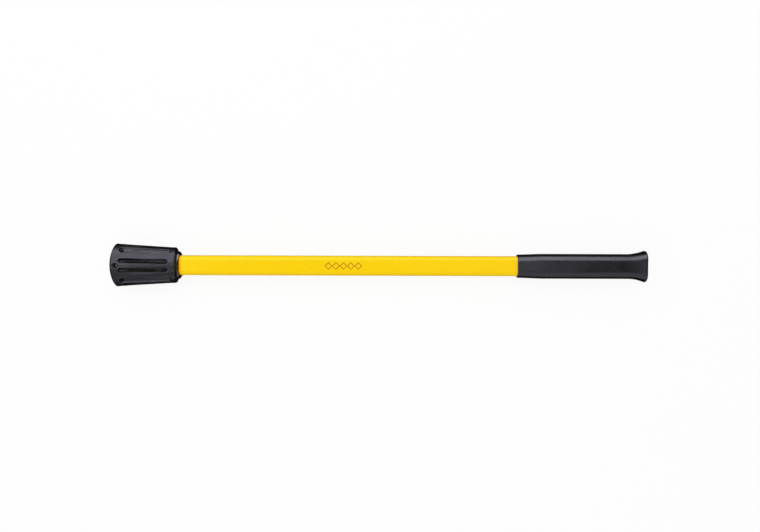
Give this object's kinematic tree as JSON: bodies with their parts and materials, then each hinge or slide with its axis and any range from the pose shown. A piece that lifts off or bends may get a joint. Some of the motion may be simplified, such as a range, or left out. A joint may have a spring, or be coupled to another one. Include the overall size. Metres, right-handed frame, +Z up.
{
  "type": "pick and mattock handle",
  "caption": "Straight fibreglass handle for a pick or mattock, with a fluted tapered eye collar at one end and a flared rubber grip at the other.",
  "frame": {"origin": "on the surface that the handle lies on, under the middle of its length and width", "axes": "+X along the handle from the eye collar to the grip's butt, +Y across its wide direction, +Z up through its thin direction"},
  "size_m": [0.9144, 0.0738, 0.0508],
  "materials": {
    "glass_core": "sawn end of straight glass strands in clear resin",
    "yellow_jacket": "satin gloss, resin rich, coloured all through",
    "eye_collar": "moulded, satin, glossier on the lands",
    "bonding_resin": "poured epoxy with a glossy skin",
    "collar_pin": "blackened spring steel",
    "rubber_grip": "smooth satin rubber"
  },
  "bodies": {
    "root": {"glass_core": "glass_core", "yellow_jacket": "yellow_jacket", "eye_collar": "eye_collar", "bonding_resin": "bonding_resin", "collar_pin": "collar_pin", "rubber_grip": "rubber_grip"}
  },
  "joints": []
}
